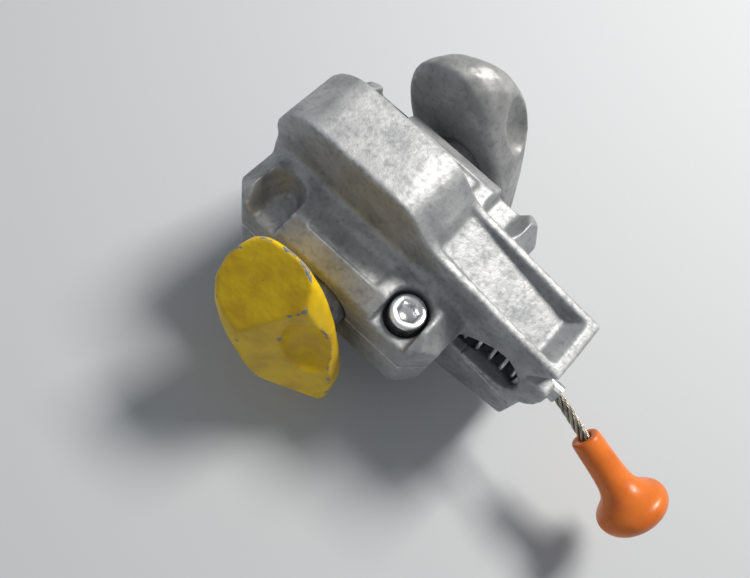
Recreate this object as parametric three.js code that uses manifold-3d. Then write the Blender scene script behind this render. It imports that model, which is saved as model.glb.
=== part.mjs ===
// Semi-automatic container twistlock, lying on one side face of its flange. Millimetres, +Z up.
//
// The working frame has its origin on the shaft's axis at the flange's mid-plane: +Y runs along the
// shaft from the lower (yellow) cone to the upper (grey) cone, +X runs to the nose where the pull
// wire comes out, and +Z is square to the parting plane of the housing's two halves. The whole
// group is lifted so that the flange's side face lies on z = 0.

import * as THREE from 'three';
import { mergeVertices } from 'three/addons/utils/BufferGeometryUtils.js';
import Module from 'manifold-3d';

// ---- driving sizes ----------------------------------------------------------------------------

const FLANGE_THICK = 32;      // along the shaft
const FLANGE_HALF = 58;       // half width of the wide end, along z
const FLANGE_BACK = 57;       // rounded back end, distance from the shaft's axis
const BACK_RADIUS = 22;       // corner radius of the back end
const WIDE_END = 4;           // x where the wide end starts to narrow
const NECK_X = 34;            // x where the narrowing ends
const NECK_HALF = 44;         // half width there
const NOSE_END = 97;          // x of the nose's end face
const NOSE_HALF = 36;         // half width of the nose's end, upper half
const NOSE_HALF_LOW = 32;     // the same, lower half
const LIP = 4.6;              // how far the lip in front of the wire stands out of the nose
const LIP_TOP = 18;           // z of the lip's upper face
const LIP_BOTTOM = -7.5;      // z where the lip ends
const NOTCH_DEPTH = 9.6;      // depth of the notch above the lip, from the nose's end
const HOLLOW_RIM = 4.5;       // rim of the hollow in the nose's side face
const HOLLOW_DEPTH = 6;
const HOLLOW_RAMP = 8;        // length of the ramp at the hollow's end

const COLLAR_LENGTH = 112;    // along x
const COLLAR_HALF = 28.5;     // half width, along z
const COLLAR_HIGH = 28.5;     // how far each collar stands off the flange
const COLLAR_SLOPE = 9.5;     // bevel along the collar's outer long edges
const COLLAR_CORNER = 9;      // bevel of the collar's front corners
const FRONT_BEVEL = 9;        // bevel of the collar's long front edges, measured along y
const FRONT_BEVEL_Z = 6.5;    // the same, measured along z
const PANEL_HALF = 19;        // half length of the sunk panel on each collar
const PANEL_DEPTH = 1.2;
const PANEL_INSET = 7;        // from the flange's face to the panel's near edge

const POCKET_X = 35;          // centre of each end pocket
const SCOOP_R = 6.5;          // radius of the floor of a pocket without a screw
const SCOOP_FLARE = 4.5;      // how much wider it gets up to the collar's edge
const SCOOP_SHIFT = 2.5;      // how far it leans towards the collar's end
const POCKET_INSET = 13;      // from the collar's front face to the pocket's centre
const POCKET_FLOOR = 17.5;    // height of the floor above the parting plane
const SCOOP_FLOOR = 16.5;     // the same, in the pockets without a screw

const SEAM_GAP = 0.3;         // between the two halves
const FIT = 0.3;              // running and seating gap
const STEP_X = 63;            // x where the seam steps down in the nose
const STEP_DROP = 10;         // how far it steps down
const STEP_SLOPE = 7;         // how much further it falls by SEAM_RUN past the nose's end
const SEAM_RUN = 10;

const SHAFT_R = 15;           // journal radius
const SHAFT_NECK_R = 12;      // radius under the lever
const LEVER_ROOM = 0.9;       // from the lever to the chamber's wall
const CONE_GAP = 9.5;         // from the collar's face to the cone's bearing face
const LOWER_CONE_LONG = 50;   // half length
const LOWER_CONE_WIDE = 23;   // half width
const LOWER_CONE_HIGH = 32;   // along the shaft
const UPPER_CONE_LONG = 53;
const UPPER_CONE_WIDE = 25;
const UPPER_CONE_HIGH = 35;
const CONE_SPIGOT_R = 9;      // end of the shaft inside the cone
const CONE_SPIGOT = 14;       // its length
const CONE_PIN_R = 3;
const CONE_PIN_SINK = 8;      // from the cone's flank down to the pin's outer end
const CONE_PIN_GRIP = 3;      // how far the pin's inner end goes into the cone past the shaft
const LOCK_TURN = 66;         // degrees from locked to open
const OPEN_ANGLE = 180;       // long way of the cones along the collar when open

const ARM = 20;               // from the shaft's axis to the line on which the link pin runs
const PIN_R = 3;
const PIN_SIDE_GAP = 0.9;     // slot clearance, takes up the arc of the lever
const LEVER_THICK = 6.3;
const HUB_R = 17;
const KEY = 5;                // square key

const PULL_Y = -2;            // y of the pull's axis
const LINK_THICK = 6;
const TAB_X = 33;             // near face of the link's bent tab
const TAB_THICK = 4.5;
const CUP_THICK = 4;
const SPRING_R = 8.9;         // mean radius of the coil
const SPRING_WIRE = 2.4;
const SPRING_TURNS = 6.5;
const SPRING_CLEAR = 1.1;     // between the spring and its bore
const SEAT_THICK = 2.2;
const END_WALL = 6.7;         // nose wall behind the spring's seat

const WIRE_R = 2.5;
const INNER_FERRULE = 9.7;    // length
const INNER_FERRULE_R = 4.4;
const KNOB_FERRULE_R = 4;
const STOP_FERRULE = 9;
const KNOB_LENGTH = 48;
const KNOB_SHANK_R = 6.9;
const KNOB_HEAD_R = 17;

const SCREW_R = 5;            // M10
const HEAD_R = 8;
const HEAD_HIGH = 10;
const HEAD_TOP = 24;          // above the parting plane
const HEAD_CLEAR = 1.3;       // between the head and its counterbore
const POCKET_CLEAR = 0.2;     // between the counterbore and the round end of its pocket
const KEY_SIZE = 8;           // across the flats of the hexagon socket
const SOCKET_DEPTH = 5;
const WASHER_THICK = 2;
const SCREW_END = -20;        // z of the screw's end
const THREAD_FLOOR = 4;       // metal below the screw's end
const DOWEL_R = 3;
const DOWEL_HALF = 8;

const FACE = FLANGE_THICK / 2;
const FRONT = FACE + COLLAR_HIGH;
const POCKET_Y = FRONT - POCKET_INSET;
const SEAT_X = NOSE_END - END_WALL - SEAT_THICK - FIT;
const CUP_X = TAB_X + TAB_THICK + FIT;
const HALF_TURN = THREE.MathUtils.degToRad(LOCK_TURN / 2);
const TRAVEL = 2 * ARM * Math.tan(HALF_TURN);
const CONE_ANGLE = THREE.MathUtils.degToRad(OPEN_ANGLE - LOCK_TURN);
const CONE_BASE = FRONT + CONE_GAP;
const CONE_PIN_REACH = CONE_SPIGOT_R + FIT + CONE_PIN_GRIP;
const CHAMBER_HALF = LEVER_THICK + FIT - PULL_Y + LEVER_ROOM;
const SPRING_ROOM_R = SPRING_R + SPRING_WIRE / 2 + SPRING_CLEAR;
const HEAD_ROOM_R = HEAD_R + HEAD_CLEAR;
const POCKET_R = HEAD_ROOM_R + POCKET_CLEAR;
const STOP_FERRULE_R = 4.6;
const LIP_Y = PULL_Y - STOP_FERRULE_R - 1.4;
const LEVER_Y = [PULL_Y - FIT - LEVER_THICK, PULL_Y - FIT];
const PIN_X = -ARM * Math.tan(HALF_TURN);
const WIRE_START = TAB_X - FIT - INNER_FERRULE + 1;
const KNOB_START = new THREE.Vector3(128, -7.4, -4.6);
const KNOB_AIM = new THREE.Vector3(0.958, -0.135, -0.252).normalize();
const BEYOND = 80;            // further out than any part of the housing

/**
 * The cones. rows go from the bearing face to the tip: share of the height, of the half length and
 * of the half width, then the section's twist in degrees. endCut is a slope on each end, given as
 * its normal (long way, wide way, height) and the height at which it meets the end.
 */
const LOWER_CONE = {
  side: -1,
  long: LOWER_CONE_LONG,
  wide: LOWER_CONE_WIDE,
  high: LOWER_CONE_HIGH,
  rows: [
    [0, 0.93, 0.88, -7], [0.1, 1, 0.98, -6], [0.24, 1, 1, -4], [0.45, 0.98, 1, -1],
    [0.68, 0.86, 0.95, 2], [0.84, 0.68, 0.82, 4], [0.94, 0.48, 0.62, 5], [1, 0.28, 0.38, 5],
  ],
  endCut: { normal: [0.63, 0.3, 0.68], height: 2 },
  flankCut: { low: 10, slope: 41 },
  dimple: { at: [3, 20, 17], size: [20, 11, 10], tilt: 41 },
};
const UPPER_CONE = {
  side: 1,
  long: UPPER_CONE_LONG,
  wide: UPPER_CONE_WIDE,
  high: UPPER_CONE_HIGH,
  rows: [
    [0, 0.93, 0.88, 13], [0.08, 1, 0.97, 11], [0.22, 1, 1, 7], [0.45, 0.95, 1, 1],
    [0.68, 0.83, 0.94, -5], [0.84, 0.67, 0.82, -8], [0.94, 0.5, 0.64, -10], [1, 0.3, 0.4, -11],
  ],
  dimple: { at: [20, 25, 21], size: [17, 8, 11], tilt: 30 },
};

// ---- solids -----------------------------------------------------------------------------------

const AXES = {
  X: new THREE.Vector3(1, 0, 0),
  Y: new THREE.Vector3(0, 1, 0),
  Z: new THREE.Vector3(0, 0, 1),
};
const wasm = await Module();
wasm.setup();

/** Closed solid from any closed three.js geometry. */
function solid(geometry) {
  const bare = geometry.clone();
  bare.deleteAttribute('normal');
  bare.deleteAttribute('uv');
  const merged = mergeVertices(bare, 1e-4);
  const mesh = new wasm.Mesh({
    numProp: 3,
    vertProperties: new Float32Array(merged.attributes.position.array),
    triVerts: new Uint32Array(merged.index.array),
  });
  return new wasm.Manifold(mesh);
}

function all(first, ...rest) {
  return rest.reduce((sum, next) => sum.add(next), first);
}

function without(first, ...cuts) {
  return cuts.reduce((left, cut) => left.subtract(cut), first);
}

function block(x, y, z) {
  const shape = new THREE.BoxGeometry(x[1] - x[0], y[1] - y[0], z[1] - z[0]);
  shape.translate((x[0] + x[1]) / 2, (y[0] + y[1]) / 2, (z[0] + z[1]) / 2);
  return solid(shape);
}

/** Round bar between two values of one axis; at holds the other two coordinates in order. */
function bar(axis, radius, from, to, at = [0, 0], sides = 32) {
  const shape = new THREE.CylinderGeometry(radius, radius, to - from, sides);
  const middle = (from + to) / 2;
  if (axis === 'x') {
    shape.rotateZ(-Math.PI / 2);
    shape.translate(middle, at[0], at[1]);
  } else if (axis === 'y') {
    shape.translate(at[0], middle, at[1]);
  } else {
    shape.rotateX(Math.PI / 2);
    shape.translate(at[0], at[1], middle);
  }
  return solid(shape);
}

/** Outline in the x-z plane, extruded along y. */
function plateXZ(points, y0, y1) {
  const shape = new THREE.ExtrudeGeometry(new THREE.Shape(points), {
    depth: y1 - y0, bevelEnabled: false, curveSegments: 1,
  });
  shape.rotateX(Math.PI / 2);
  shape.translate(0, y1, 0);
  return solid(shape);
}

/** Outline in the x-y plane, extruded along z. */
function plateXY(points, z0, z1) {
  const shape = new THREE.ExtrudeGeometry(new THREE.Shape(points), {
    depth: z1 - z0, bevelEnabled: false, curveSegments: 1,
  });
  shape.translate(0, 0, z0);
  return solid(shape);
}

/** Outline in the y-z plane, extruded along x. */
function plateYZ(points, x0, x1) {
  const shape = new THREE.ExtrudeGeometry(new THREE.Shape(points), {
    depth: x1 - x0, bevelEnabled: false, curveSegments: 1,
  });
  const axes = ['Y', 'Z', 'X'].map((name) => AXES[name]);
  shape.applyMatrix4(new THREE.Matrix4().makeBasis(...axes));
  shape.translate(x0, 0, 0);
  return solid(shape);
}

function point(a, b) {
  return new THREE.Vector2(a, b);
}

/** Points of an arc, both ends included. Angles in degrees. */
function arc(a, b, radius, from, to, steps) {
  return Array.from({ length: steps + 1 }, (_, i) => {
    const angle = THREE.MathUtils.degToRad(from + (to - from) * i / steps);
    return point(a + radius * Math.cos(angle), b + radius * Math.sin(angle));
  });
}

/** Points of a smooth S from one point to another, level at its start. */
function sCurve(from, to, endSlope, steps) {
  const middle = (from.x + to.x) / 2;
  const curve = new THREE.CubicBezierCurve(
    from, point(middle, from.y), point(middle, to.y - endSlope * (to.x - middle)), to,
  );
  return curve.getPoints(steps);
}

/** Closed skin through sections of equal point count, each a list of Vector3, with flat ends. */
function loft(sections) {
  const count = sections[0].length;
  const ends = [sections[0], sections[sections.length - 1]];
  const centres = ends.map((ring) => ring.reduce((sum, p) => sum.add(p), new THREE.Vector3())
    .divideScalar(count));
  const vertices = [...sections.flat(), ...centres];
  const faces = [];
  const last = (sections.length - 1) * count;
  for (let i = 0; i < count; i += 1) {
    const next = (i + 1) % count;
    for (let row = 0; row < last; row += count) {
      faces.push(row + i, row + next, row + count + i, row + next, row + count + next, row + count + i);
    }
    faces.push(next, i, vertices.length - 2, last + i, last + next, vertices.length - 1);
  }
  const shape = new THREE.BufferGeometry();
  shape.setAttribute('position', new THREE.Float32BufferAttribute(vertices.flatMap((p) => [...p]), 3));
  shape.setIndex(faces);
  return solid(shape);
}

/** Bar of one round section along a curve. */
function rod(curve, radius, sides, steps) {
  const section = new THREE.Shape(arc(0, 0, radius, 0, 360 - 360 / sides, sides - 1));
  return solid(new THREE.ExtrudeGeometry(section, {
    steps, extrudePath: curve, bevelEnabled: false, curveSegments: 1,
  }));
}

// ---- housing ----------------------------------------------------------------------------------

/** Upper edge of the flange's outline, from the back to the nose's end. */
function flangeEdge(noseHalf) {
  const back = arc(BACK_RADIUS - FLANGE_BACK, FLANGE_HALF - BACK_RADIUS, BACK_RADIUS, 180, 90, 6);
  const slope = (noseHalf - NECK_HALF) / (NOSE_END - NECK_X);
  const bend = sCurve(point(WIDE_END, FLANGE_HALF), point(NECK_X, NECK_HALF), slope, 8);
  return [...back, ...bend, point(NOSE_END, noseHalf)];
}

function flip(points) {
  return points.map((p) => point(p.x, -p.y)).reverse();
}

function flange() {
  return plateXZ([...flangeEdge(NOSE_HALF), ...flip(flangeEdge(NOSE_HALF_LOW))], -FACE, FACE);
}

/** One collar. side is -1 below the flange and 1 above it. */
function collar(side) {
  const end = COLLAR_LENGTH / 2;
  const low = COLLAR_HALF - COLLAR_SLOPE;
  const edge = [
    point(-end, low), point(COLLAR_SLOPE - end, COLLAR_HALF),
    point(end - COLLAR_SLOPE, COLLAR_HALF), point(end, low),
  ];
  const reach = [side * (FACE - 2), side * FRONT].sort((a, b) => a - b);
  const corners = [-1, 1].map((way) => plateXY([
    point(way * (end + 1), side * (FRONT - COLLAR_CORNER - 1)),
    point(way * (end + 1), side * (FRONT + 1)),
    point(way * (end - COLLAR_CORNER - 1), side * (FRONT + 1)),
  ], -COLLAR_HALF - 1, COLLAR_HALF + 1));
  const grow = 1.2;
  const bevels = [-1, 1].map((way) => plateYZ([
    point(side * (FRONT - FRONT_BEVEL * grow), way * (COLLAR_HALF + FRONT_BEVEL_Z * (grow - 1))),
    point(side * (FRONT + FRONT_BEVEL * (grow - 1)), way * (COLLAR_HALF + FRONT_BEVEL_Z * (grow - 1))),
    point(side * (FRONT + FRONT_BEVEL * (grow - 1)), way * (COLLAR_HALF - FRONT_BEVEL_Z * grow)),
  ], -end - 1, end + 1));
  return without(plateXZ([...edge, ...flip(edge)], reach[0], reach[1]), ...corners, ...bevels);
}

/** Outline of a U-shaped pocket in a collar's end, open at the front face. */
function pocketOutline(wayX, side, radius, shift = 0) {
  const x = wayX * (POCKET_X + shift);
  const round = arc(x, side * POCKET_Y, radius, 0, side * -180, 12);
  const mouth = side * (FRONT + 1);
  return [point(x + radius, mouth), ...round, point(x - radius, mouth)];
}

/** Pocket with upright walls. */
function pocket(wayX, side, radius, floor, top) {
  return plateXY(pocketOutline(wayX, side, radius), floor, top);
}

/** Pocket whose walls slope outwards, leaning towards the collar's end. */
function scoop(wayX, side) {
  const top = COLLAR_HALF + 1;
  const sections = [
    [SCOOP_FLOOR, SCOOP_R - 1, 0],
    [SCOOP_FLOOR + 1, SCOOP_R, 0],
    [top, SCOOP_R + SCOOP_FLARE, SCOOP_SHIFT],
  ].map(([z, radius, shift]) => (
    pocketOutline(wayX, side, radius, shift).map((p) => new THREE.Vector3(p.x, p.y, z))
  ));
  return loft(side > 0 ? sections.map((ring) => ring.reverse()) : sections);
}

/** The pockets' places: a cap screw goes through two of them, and a dowel sits under the others. */
const CORNERS = [
  { wayX: 1, side: -1, screw: true },
  { wayX: -1, side: 1, screw: true },
  { wayX: -1, side: -1, screw: false },
  { wayX: 1, side: 1, screw: false },
];

/** The space inside: bores for the shaft, the lever's chamber, the link's way and the spring's bore. */
function innerSpace() {
  const seatEnd = NOSE_END - END_WALL;
  const sweep = ARM / Math.cos(HALF_TURN) + PIN_R + PIN_SIDE_GAP + 5;
  const linkEnd = TAB_X + TAB_THICK + TRAVEL;
  return all(
    bar('y', SHAFT_R + FIT, -FRONT - 1, FRONT + 1, [0, 0], 40),
    bar('y', sweep, -CHAMBER_HALF, CHAMBER_HALF, [0, 0], 40),
    block([0, linkEnd - 12], [-CHAMBER_HALF, CHAMBER_HALF], [-ARM - 8, -ARM + 8]),
    block([0, linkEnd + 3], [-CHAMBER_HALF, CHAMBER_HALF - 4], [-14, 12]),
    bar('x', SPRING_ROOM_R, TAB_X, seatEnd, [PULL_Y, 0], 32),
    bar('x', WIRE_R + 1, seatEnd - 1, NOSE_END + 6, [PULL_Y, 0], 16),
  );
}

/** Window in the nose's lower face through which the spring is seen. */
function noseWindow() {
  const left = NOSE_END - 40;
  const outline = [
    point(left, -9), point(NOSE_END - 13, -9), point(NOSE_END - 9.5, -6.5), point(NOSE_END - 7.2, -2),
    point(NOSE_END - 7, 4), point(NOSE_END - 9, 10), point(NOSE_END - 13.5, 16), point(NOSE_END - 19, 19.5),
    point(NOSE_END - 26, 18), point(NOSE_END - 34, 12), point(left, 6),
  ];
  return plateXZ(outline, -FACE - 1, PULL_Y - 5);
}

/** Lip on the nose's end, in front of the wire as seen from the lower face. */
function noseLip() {
  const root = NOSE_END - 8;
  const end = NOSE_END + LIP;
  return plateXZ([
    point(root, LIP_TOP), point(end - 1.6, LIP_TOP), point(end - 0.4, LIP_TOP - 3),
    point(end, LIP_TOP / 2),
    point(end - 0.5, 2), point(end - 2.4, -3), point(NOSE_END - 1, LIP_BOTTOM), point(root, LIP_BOTTOM),
  ], -FACE, LIP_Y);
}

/** Notch above the lip, in which the pulled wire's stop is hooked. */
function wireNotch() {
  const end = NOSE_END + LIP + 1;
  const wedge = plateXZ([
    point(NOSE_END - NOTCH_DEPTH, LIP_TOP), point(end, LIP_TOP), point(end, NOSE_HALF),
    point(NOSE_END, NOSE_HALF),
  ], -FACE - 1, LIP_Y + 1);
  const plan = plateXY([
    point(NOSE_END - NOTCH_DEPTH - 1, -FACE - 1), point(end, -FACE - 1), point(end, LIP_Y + 0.5),
    point(NOSE_END - 0.5, LIP_Y + 0.5),
  ], LIP_TOP - 1, NOSE_HALF + 1);
  return wedge.intersect(plan);
}

/** Hollow in the side face of the nose, with a ramp at the nose's end. */
function sideHollow(noseHalf) {
  const start = WIDE_END + 10;
  const end = NOSE_END - HOLLOW_RIM;
  const outline = [
    point(start, FLANGE_HALF + 1), point(NECK_X - 6, NECK_HALF - 0.5), point(NECK_X + 12, NECK_HALF - 5),
    point(end - HOLLOW_RAMP, noseHalf + 1 - HOLLOW_DEPTH), point(end, noseHalf + 1), point(end, FLANGE_HALF + 1),
  ];
  return plateXZ(outline, -FACE + HOLLOW_RIM, FACE - HOLLOW_RIM);
}

/** Everything on the upper half's side of the stepped seam. */
function aboveSeam() {
  const lift = SEAM_GAP / 2;
  const drop = -STEP_DROP + lift;
  return plateXZ([
    point(-BEYOND, lift), point(STEP_X + SEAM_GAP, lift), point(STEP_X + SEAM_GAP, drop),
    point(NOSE_END + SEAM_RUN, drop - STEP_SLOPE), point(NOSE_END + SEAM_RUN, BEYOND), point(-BEYOND, BEYOND),
  ], -BEYOND, BEYOND);
}

function belowSeam() {
  const lift = -SEAM_GAP / 2;
  const drop = -STEP_DROP + lift;
  return plateXZ([
    point(-BEYOND, lift), point(STEP_X, lift), point(STEP_X, drop),
    point(NOSE_END + SEAM_RUN, drop - STEP_SLOPE), point(NOSE_END + SEAM_RUN, -BEYOND), point(-BEYOND, -BEYOND),
  ], -BEYOND, BEYOND);
}

function mirrored(body) {
  return body.scale([1, 1, -1]);
}

/** The full outer form before it is cut along the seam. */
function outerForm() {
  return all(flange(), collar(-1), collar(1), noseLip());
}

function upperHousing(form) {
  const cuts = CORNERS.flatMap(({ wayX, side, screw }) => {
    const at = [wayX * POCKET_X, side * POCKET_Y];
    if (!screw) {
      return [scoop(wayX, side), bar('z', DOWEL_R + FIT, -1, DOWEL_HALF + FIT, at, 16)];
    }
    const room = HEAD_TOP - HEAD_HIGH - WASHER_THICK - 2 * FIT;
    return [
      pocket(wayX, side, POCKET_R, POCKET_FLOOR, COLLAR_HALF + 1),
      bar('z', HEAD_ROOM_R, room, POCKET_FLOOR + 1, at, 28),
      bar('z', SCREW_R + FIT, -1, room + 1, at, 20),
    ];
  });
  const panels = [-1, 1].map((side) => {
    const reach = [side * (FACE + PANEL_INSET), side * (FRONT - FRONT_BEVEL)].sort((a, b) => a - b);
    return block([-PANEL_HALF, PANEL_HALF], reach, [COLLAR_HALF - PANEL_DEPTH, COLLAR_HALF + 1]);
  });
  return without(form, ...cuts, ...panels, sideHollow(NOSE_HALF), noseWindow(), wireNotch(), innerSpace())
    .intersect(aboveSeam());
}

function lowerHousing(form) {
  const cuts = CORNERS.flatMap(({ wayX, side, screw }) => {
    const at = [wayX * POCKET_X, side * POCKET_Y];
    if (!screw) {
      return [mirrored(scoop(wayX, side)), bar('z', DOWEL_R + FIT, -DOWEL_HALF - FIT, 1, at, 16)];
    }
    return [
      mirrored(pocket(wayX, side, POCKET_R, -SCREW_END + THREAD_FLOOR, COLLAR_HALF + 1)),
      bar('z', SCREW_R + FIT, SCREW_END - 2, 1, at, 20),
    ];
  });
  return without(form, ...cuts, mirrored(sideHollow(NOSE_HALF_LOW)), noseWindow(), innerSpace())
    .intersect(belowSeam());
}

// ---- shaft and cones --------------------------------------------------------------------------

/** Carries a point of a cone's own frame (long way, wide way, height) to the working frame. */
function conePoint(u, v, height, side) {
  const c = Math.cos(CONE_ANGLE);
  const s = Math.sin(CONE_ANGLE);
  return new THREE.Vector3(u * c + v * s, side * (CONE_BASE + height), u * s - v * c);
}

/** One section of a cone: a blunt oval with a twist. */
function ovalSection({ long, wide, high, side }, [height, shareLong, shareWide, twist], steps = 32) {
  const power = 2.7;
  const turn = THREE.MathUtils.degToRad(twist);
  return Array.from({ length: steps }, (_, i) => {
    const angle = side * 2 * Math.PI * i / steps;
    const c = Math.cos(angle);
    const s = Math.sin(angle);
    const reach = (Math.abs(c) ** power + Math.abs(s) ** power) ** (-1 / power);
    const u = long * shareLong * reach * c;
    const v = wide * shareWide * reach * s;
    return conePoint(
      u * Math.cos(turn) + v * Math.sin(turn), v * Math.cos(turn) - u * Math.sin(turn), high * height, side,
    );
  });
}

/** Solid that is moved from a cone's own frame to the working frame. */
function inConeFrame(geometry, side) {
  const origin = conePoint(0, 0, 0, side);
  const axes = [[1, 0, 0], [0, 1, 0], [0, 0, 1]].map((axis) => conePoint(...axis, side).sub(origin));
  const frame = new THREE.Matrix4().makeBasis(...axes).setPosition(origin);
  const placed = geometry.applyMatrix4(frame);
  if (frame.determinant() > 0) {
    return solid(placed);
  }
  const order = [...placed.index.array].reverse();
  placed.setIndex(order);
  return solid(placed);
}

/** Everything beyond a plane through a point, in a cone's own frame. */
function beyondPlane(normal, through, side) {
  const size = 120;
  const box = new THREE.BoxGeometry(size, size, size);
  box.translate(0, 0, size / 2);
  const aim = new THREE.Vector3(...normal).normalize();
  box.applyQuaternion(new THREE.Quaternion().setFromUnitVectors(AXES.Z, aim));
  box.translate(...through);
  return inConeFrame(box, side);
}

/** Hollow in a long flank of a cone. way is 1 or -1, half a turn apart. */
function dimple({ side, dimple: { at, size, tilt } }, way) {
  const ball = new THREE.SphereGeometry(1, 24, 14);
  ball.scale(...size);
  ball.rotateX(THREE.MathUtils.degToRad(-tilt));
  ball.translate(...at);
  ball.rotateZ(way > 0 ? 0 : Math.PI);
  return inConeFrame(ball, side);
}

/** Slopes on a cone's ends and on one of its flanks, where it has them. */
function slopes({ side, long, wide, endCut, flankCut }) {
  const cuts = [];
  if (endCut) {
    const [u, v, w] = endCut.normal;
    cuts.push(beyondPlane([u, v, w], [long, 0, endCut.height], side));
    cuts.push(beyondPlane([-u, -v, w], [-long, 0, endCut.height], side));
  }
  if (flankCut) {
    const slope = THREE.MathUtils.degToRad(flankCut.slope);
    cuts.push(beyondPlane([0, Math.sin(slope), Math.cos(slope)], [0, wide, flankCut.low], side));
  }
  return cuts;
}

/** A cone with its bearing face at the shaft's shoulder. */
function cone(form) {
  const { side, rows, wide } = form;
  const reach = [side * (CONE_BASE - 1), side * (CONE_BASE + CONE_SPIGOT + FIT)].sort((a, b) => a - b);
  return without(
    loft(rows.map((row) => ovalSection(form, row))),
    bar('y', CONE_SPIGOT_R + FIT, reach[0], reach[1], [0, 0], 32),
    conePin(form, CONE_PIN_R + FIT, -wide - 8, CONE_PIN_REACH + FIT),
    ...slopes(form),
    dimple(form, 1),
    ...(form.flankCut ? [] : [dimple(form, -1)]),
  );
}

/**
 * Cross pin of a cone and the shaft's end, or room for it. It is driven in from the flank without
 * the dimple and ends inside the cone. from and to are along the cone's wide way.
 */
function conePin(form, radius = CONE_PIN_R, from = CONE_PIN_SINK - form.wide, to = CONE_PIN_REACH) {
  const { side } = form;
  const wideWay = conePoint(0, 1, 0, side).sub(conePoint(0, 0, 0, side));
  const shape = new THREE.CylinderGeometry(radius, radius, to - from, 20);
  shape.translate(0, (from + to) / 2, 0);
  shape.applyQuaternion(new THREE.Quaternion().setFromUnitVectors(AXES.Y, wideWay));
  shape.translate(0, side * (CONE_BASE + CONE_SPIGOT / 2), 0);
  return solid(shape);
}

function lockShaft() {
  const shoulder = CONE_BASE - FIT;
  const end = CONE_BASE + CONE_SPIGOT;
  const neck = CHAMBER_HALF - FIT;
  const body = all(
    bar('y', SHAFT_NECK_R, -neck - 1, neck + 1, [0, 0], 32),
    bar('y', SHAFT_R, -shoulder, -neck, [0, 0], 40),
    bar('y', SHAFT_R, neck, shoulder, [0, 0], 40),
    bar('y', CONE_SPIGOT_R, -end, -shoulder + 1, [0, 0], 32),
    bar('y', CONE_SPIGOT_R, shoulder - 1, end, [0, 0], 32),
  );
  const pins = [LOWER_CONE, UPPER_CONE].map((form) => conePin(form, CONE_PIN_R + FIT, -2 * SHAFT_R, 2 * SHAFT_R));
  return without(body, ...pins, keyBlock(FIT));
}

// ---- lever, link and spring -------------------------------------------------------------------

function keyBlock(gap) {
  const low = SHAFT_NECK_R - KEY / 2 - gap;
  const reach = [LEVER_Y[0] - gap, LEVER_Y[1] + gap];
  return block([-KEY / 2 - gap, KEY / 2 + gap], reach, [low, low + KEY + 2 * gap]);
}

/** Arm clamped round the shaft's neck, with a radial slot for the link pin. */
function shaftLever() {
  const slotHalf = PIN_R + PIN_SIDE_GAP;
  const outer = ARM / Math.cos(HALF_TURN);
  const wall = 3.4;
  const armHalf = slotHalf + wall;
  const arm = all(
    bar('y', HUB_R, LEVER_Y[0], LEVER_Y[1], [0, 0], 32),
    bar('y', armHalf, LEVER_Y[0], LEVER_Y[1], [0, -outer], 20),
    block([-armHalf, armHalf], LEVER_Y, [-outer, 0]),
  );
  const slot = all(
    bar('y', slotHalf, LEVER_Y[0] - 1, LEVER_Y[1] + 1, [0, -outer], 16),
    bar('y', slotHalf, LEVER_Y[0] - 1, LEVER_Y[1] + 1, [0, -ARM], 16),
    block([-slotHalf, slotHalf], [LEVER_Y[0] - 1, LEVER_Y[1] + 1], [-outer, -ARM]),
  );
  const bore = bar('y', SHAFT_NECK_R + FIT, LEVER_Y[0] - 1, LEVER_Y[1] + 1, [0, 0], 32);
  const turned = without(arm, slot).rotate([0, LOCK_TURN / 2, 0]);
  return without(turned, bore, keyBlock(FIT));
}

function linkPin() {
  const top = PULL_Y + LINK_THICK + FIT;
  return all(
    bar('y', PIN_R, LEVER_Y[0] + FIT, top + 0.5, [PIN_X, -ARM], 16),
    bar('y', PIN_R + 2.2, top, top + 2, [PIN_X, -ARM], 16),
  );
}

/** Plate from the link pin, under the shaft, up to the bent tab that pulls the spring cup. */
function pullLink() {
  const half = 6;
  const low = -10;
  const high = -INNER_FERRULE_R - 1.2;
  const outline = [
    ...arc(PIN_X, -ARM, half, 270, 90, 8),
    point(13, -ARM + half), point(19, high), point(TAB_X + 1, high), point(TAB_X + 1, low),
    point(24, low), point(17, -ARM - half),
  ];
  const tab = block([TAB_X, TAB_X + TAB_THICK], [PULL_Y - 6.5, PULL_Y + LINK_THICK + 0.5], [low, 7.5]);
  return without(
    all(plateXZ(outline, PULL_Y, PULL_Y + LINK_THICK), tab),
    bar('y', PIN_R + FIT, PULL_Y - 1, PULL_Y + LINK_THICK + 1, [PIN_X, -ARM], 16),
    wireHole(TAB_X - 1, TAB_X + TAB_THICK + 1),
  );
}

function wireHole(from, to) {
  return bar('x', WIRE_R + 0.4, from, to, [PULL_Y, 0], 16);
}

function springCup() {
  const plate = bar('x', SPRING_ROOM_R - FIT * 2, CUP_X, CUP_X + CUP_THICK, [PULL_Y, 0], 28);
  const spigotR = SPRING_R - SPRING_WIRE / 2 - 0.8;
  const spigot = bar('x', spigotR, CUP_X + 1, CUP_X + CUP_THICK + 7, [PULL_Y, 0], 24);
  return without(all(plate, spigot), wireHole(CUP_X - 1, CUP_X + CUP_THICK + 9));
}

function returnSpring() {
  const from = CUP_X + CUP_THICK + FIT + SPRING_WIRE / 2;
  const to = SEAT_X - FIT - SPRING_WIRE / 2;
  class Helix extends THREE.Curve {
    getPoint(t, target = new THREE.Vector3()) {
      const angle = 2 * Math.PI * SPRING_TURNS * t;
      const [across, up] = [SPRING_R * Math.cos(angle), SPRING_R * Math.sin(angle)];
      return target.set(from + (to - from) * t, PULL_Y + across, up);
    }
  }
  return rod(new Helix(), SPRING_WIRE / 2, 8, Math.round(SPRING_TURNS * 16));
}

function springSeat() {
  const ring = bar('x', SPRING_ROOM_R - FIT, SEAT_X, SEAT_X + SEAT_THICK, [PULL_Y, 0], 28);
  return without(ring, bar('x', WIRE_R + 1, SEAT_X - 1, SEAT_X + SEAT_THICK + 1, [PULL_Y, 0], 16));
}

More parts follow.
